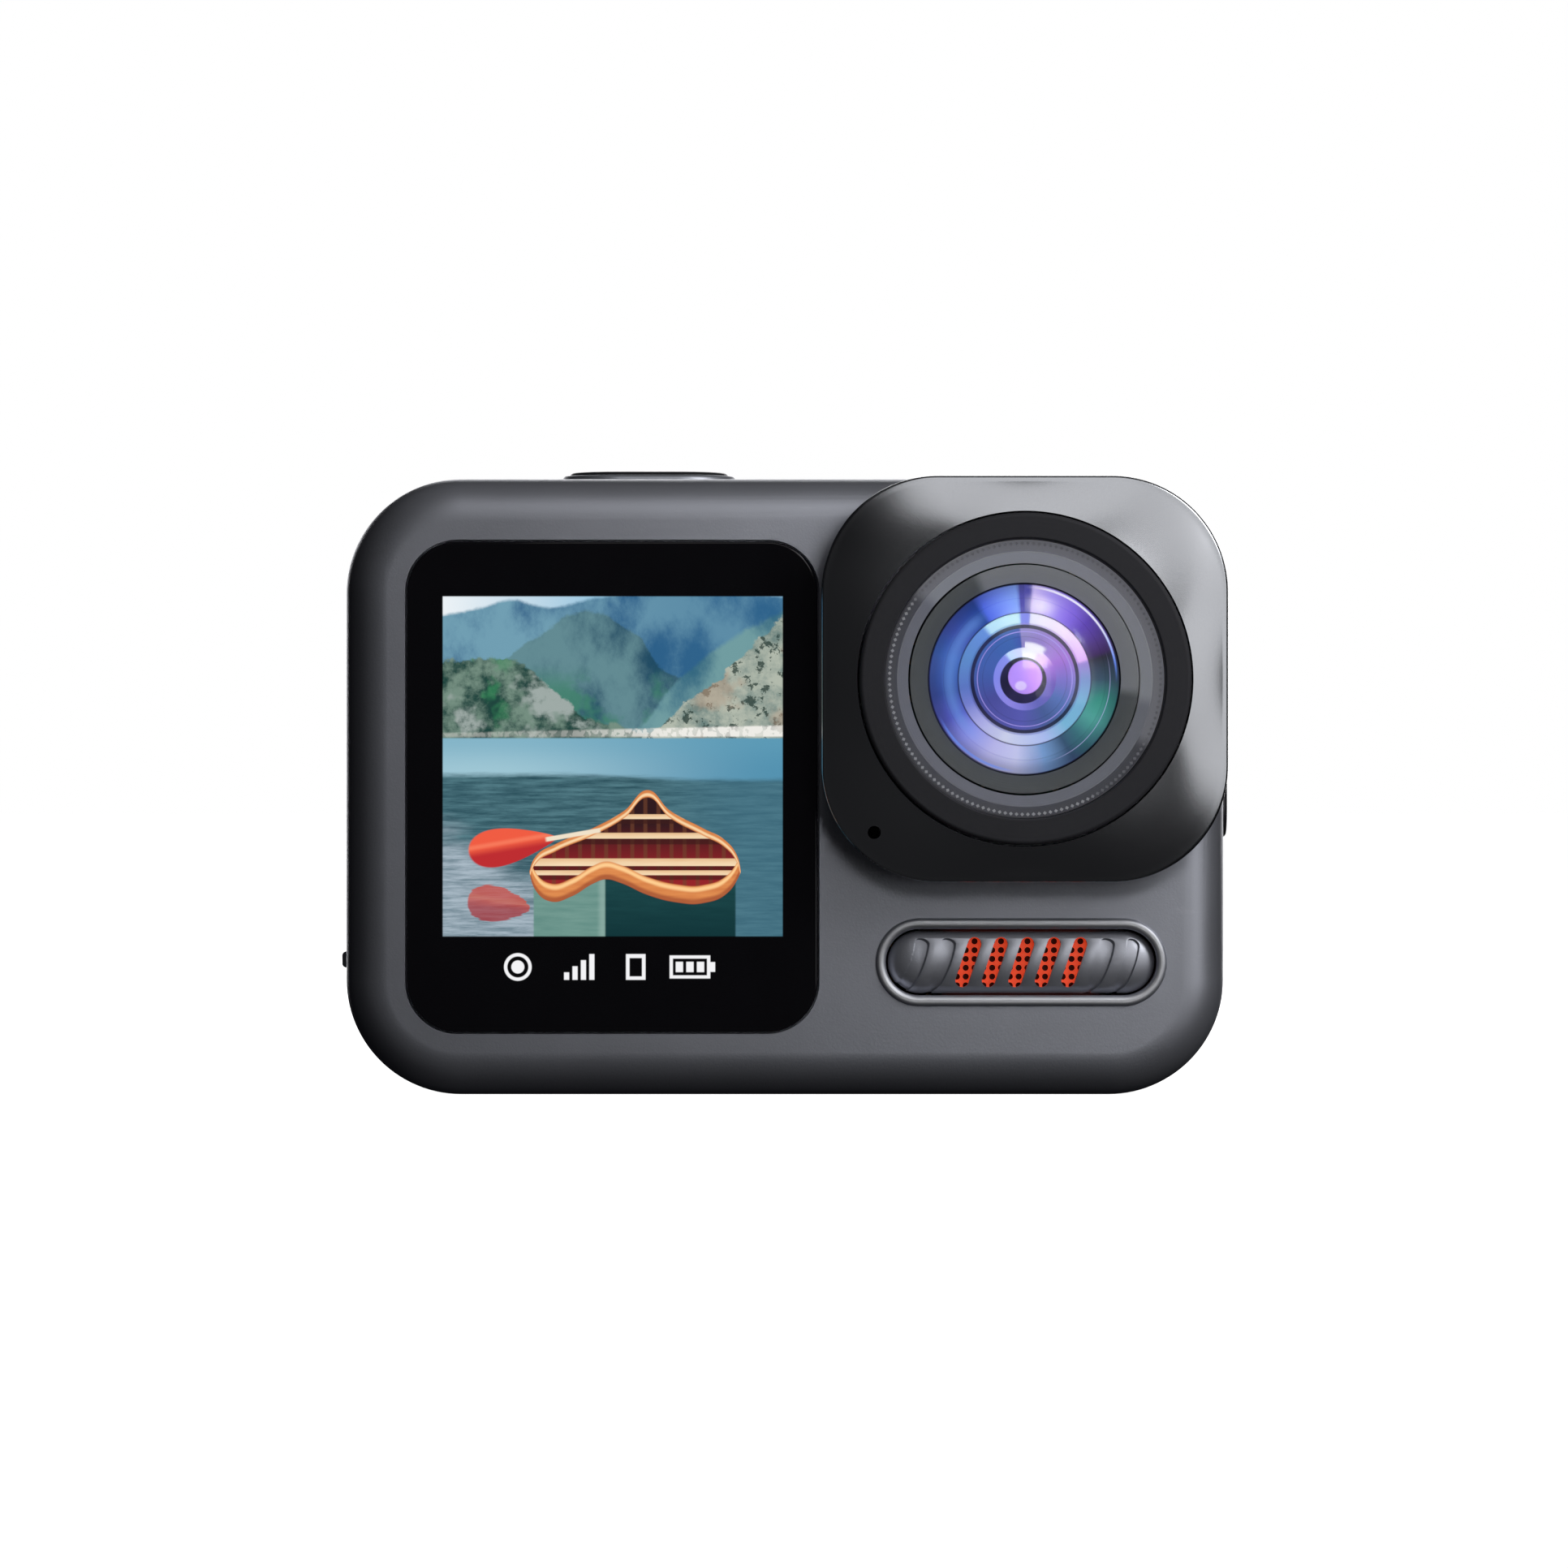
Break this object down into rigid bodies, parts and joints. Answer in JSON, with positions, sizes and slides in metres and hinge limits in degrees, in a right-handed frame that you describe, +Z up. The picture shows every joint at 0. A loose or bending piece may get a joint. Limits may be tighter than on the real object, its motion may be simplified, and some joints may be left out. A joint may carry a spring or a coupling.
{
  "type": "action camera",
  "caption": "Compact waterproof action camera with front and rear displays, an offset square lens module, a speaker grille, two buttons and hinged doors.",
  "frame": {"origin": "middle of the base, where the camera stands", "axes": "+Z up, -Y towards the subject (the lens side), +X towards the camera's right as seen from the front"},
  "size_m": [0.0662, 0.03, 0.0463],
  "materials": {
    "shell_plastic": "fine grain, satin, dark blue-grey",
    "bezel_gloss": "smooth dark gunmetal lacquer with a soft sheen",
    "black_plastic": "fine satin",
    "button_cap": "satin, smoother than the shell",
    "display_glass": "polished, black behind its border",
    "display_panel": "lit picture",
    "clear_glass": "clear, coated",
    "coated_glass": "violet and blue anti-reflection coating",
    "grille_orange": "perforated, orange-red lacquer",
    "latch_orange": "orange-red moulded colour",
    "rubber_seal": "dull silicone",
    "steel": "drawn and stamped steel",
    "brass": "turned",
    "circuit_board": "solder mask",
    "ribbon_film": "flexible film",
    "battery_wrap": "printed film"
  },
  "bodies": {
    "case": {"front_shell": "shell_plastic", "rear_cover": "shell_plastic", "body_seal": "rubber_seal", "case_screw_1": "steel", "case_screw_2": "steel", "case_screw_3": "steel", "case_screw_4": "steel", "front_glass": "display_glass", "front_lcd": "display_panel", "front_display_ribbon": "ribbon_film", "rear_glass": "display_glass", "rear_lcd": "display_panel", "lens_bezel": "bezel_gloss", "lens_collar": "black_plastic", "lens_trim_ring": "black_plastic", "lens_retaining_ring": "black_plastic", "lens_cover_glass": "clear_glass", "lens_barrel": "black_plastic", "lens_front_element": "coated_glass", "lens_middle_element": "clear_glass", "lens_rear_element": "clear_glass", "lens_holder": "black_plastic", "ir_filter": "clear_glass", "image_sensor": "black_plastic", "sensor_board": "circuit_board", "speaker_grille": "shell_plastic", "speaker_mesh": "grille_orange", "speaker": "black_plastic", "microphone": "steel", "shutter_spring": "steel", "shutter_switch": "black_plastic", "shutter_board": "circuit_board", "power_spring": "steel", "power_switch": "black_plastic", "power_board": "circuit_board", "port_door_pin": "steel", "usb_socket": "steel", "hdmi_socket": "steel", "card_slot": "steel", "battery_door_pin": "steel", "battery": "battery_wrap", "battery_bay": "black_plastic", "battery_contacts": "brass", "main_board": "circuit_board", "processor": "black_plastic", "heat_spreader": "steel", "wifi_antenna": "brass", "tripod_nut": "brass"},
    "shutter": {"shutter_button": "button_cap"},
    "power_key": {"power_button": "button_cap"},
    "side_door": {"port_door": "shell_plastic", "port_door_seal": "rubber_seal"},
    "bottom_door": {"battery_door": "shell_plastic", "battery_door_seal": "rubber_seal"},
    "latch": {"battery_latch": "latch_orange"}
  },
  "joints": [
    {"name": "shutter_press", "type": "slide", "parent": "case", "child": "shutter", "axis": [0, 0, -1], "range_m": [0, 0.0004], "stiffness_N_per_m": 1200, "springref_m": -0.001, "deforming": ["shutter_spring"]},
    {"name": "power_press", "type": "slide", "parent": "case", "child": "power_key", "axis": [-1, 0, 0], "range_m": [0, 0.0004], "stiffness_N_per_m": 1200, "springref_m": -0.001},
    {"name": "side_door_hinge", "type": "hinge", "parent": "case", "child": "side_door", "pos_m": [-0.03165, 0.0042, 0.0337], "axis": [0, 1, 0], "range_deg": [0, 100]},
    {"name": "bottom_door_hinge", "type": "hinge", "parent": "case", "child": "bottom_door", "pos_m": [-0.0078, 0.0081, 0.00095], "axis": [1, 0, 0], "range_deg": [0, 100]},
    {"name": "latch_slide", "type": "slide", "parent": "bottom_door", "child": "latch", "axis": [0, 1, 0], "range_m": [0, 0.0015]}
  ]
}
